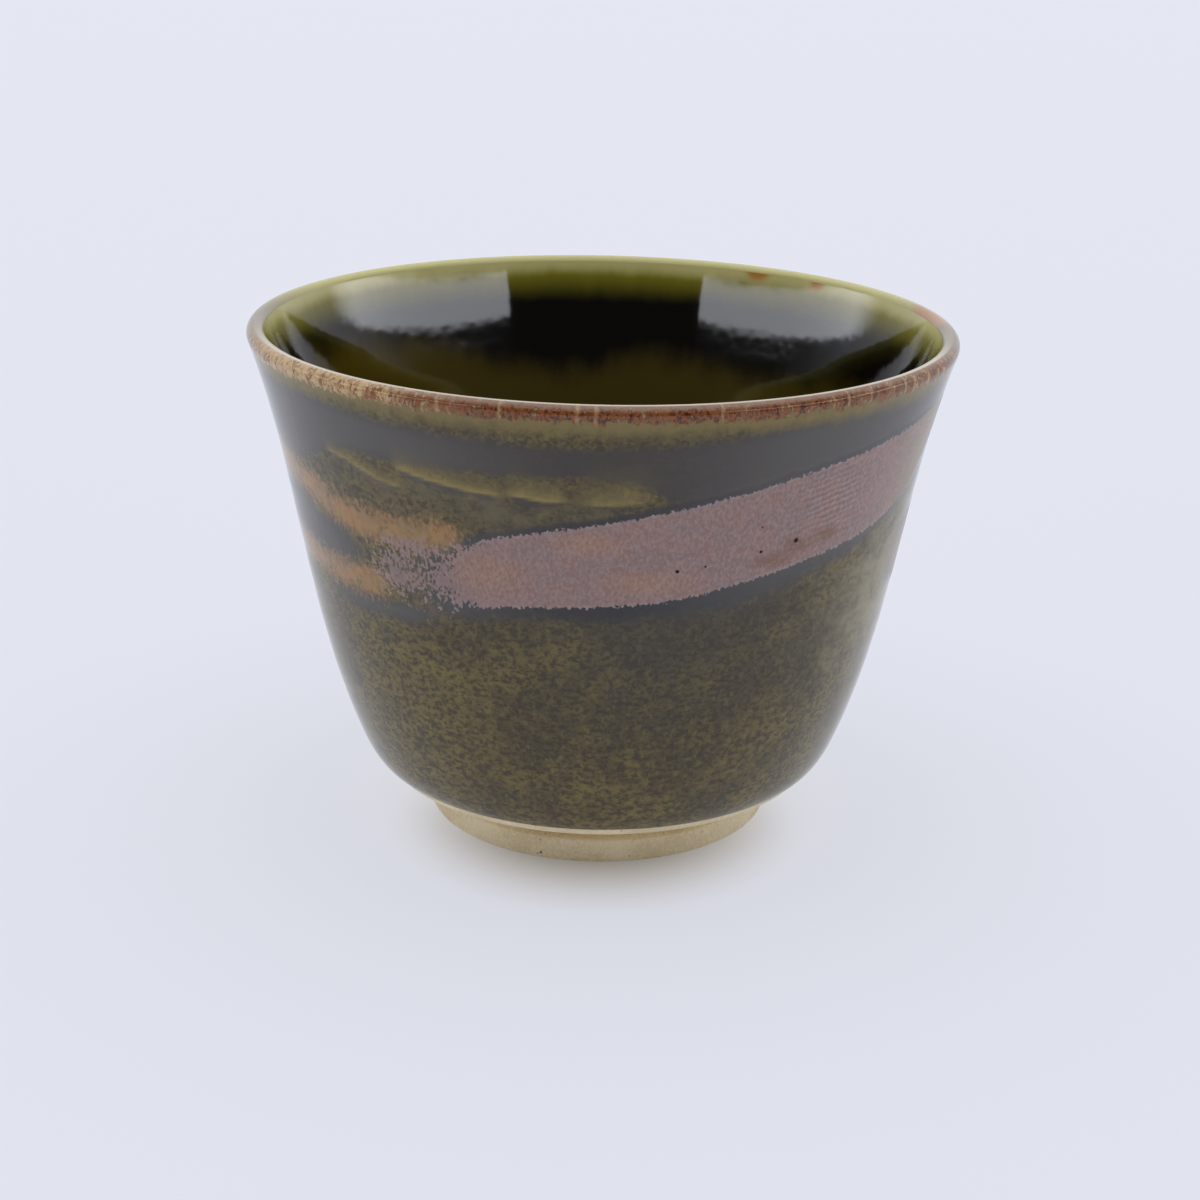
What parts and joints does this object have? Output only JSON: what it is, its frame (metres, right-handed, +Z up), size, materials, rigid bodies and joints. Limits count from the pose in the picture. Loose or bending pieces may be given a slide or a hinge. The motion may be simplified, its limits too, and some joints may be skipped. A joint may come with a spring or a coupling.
{
  "type": "conical cup",
  "caption": "Conical handle-less stoneware tea cup on a bare turned foot ring, dark olive glaze inside and out, rust-brown lip and a pink brushed stroke round the wall; holds a hot drink.",
  "frame": {"origin": "centre of the foot ring's flat resting face", "axes": "+Z up along the cup's axis, -Y to the front that the picture shows, +X to the picture's right"},
  "size_m": [0.088, 0.088, 0.0643],
  "materials": {
    "stoneware_clay": "bare fired stoneware, matt, fine turning lines",
    "foot_clay": "bare fired stoneware, matt, smoothed, a few iron specks",
    "olive_glaze": "glossy mottled olive and brown glaze",
    "dark_liner_glaze": "glossy dark green-black glaze, yellow-green where thin near the lip",
    "rust_rim_glaze": "thin glossy glaze broken to rust brown and tan over the lip",
    "pink_slip": "satin dusty pink brushed stroke with grainy edges and pinholes"
  },
  "bodies": {
    "root": {"clay_body": "stoneware_clay", "foot_ring": "foot_clay", "outer_glaze": "olive_glaze", "liner_glaze": "dark_liner_glaze", "rim_glaze": "rust_rim_glaze", "brush_stroke_front": "pink_slip", "brush_stroke_back": "pink_slip"}
  },
  "joints": []
}
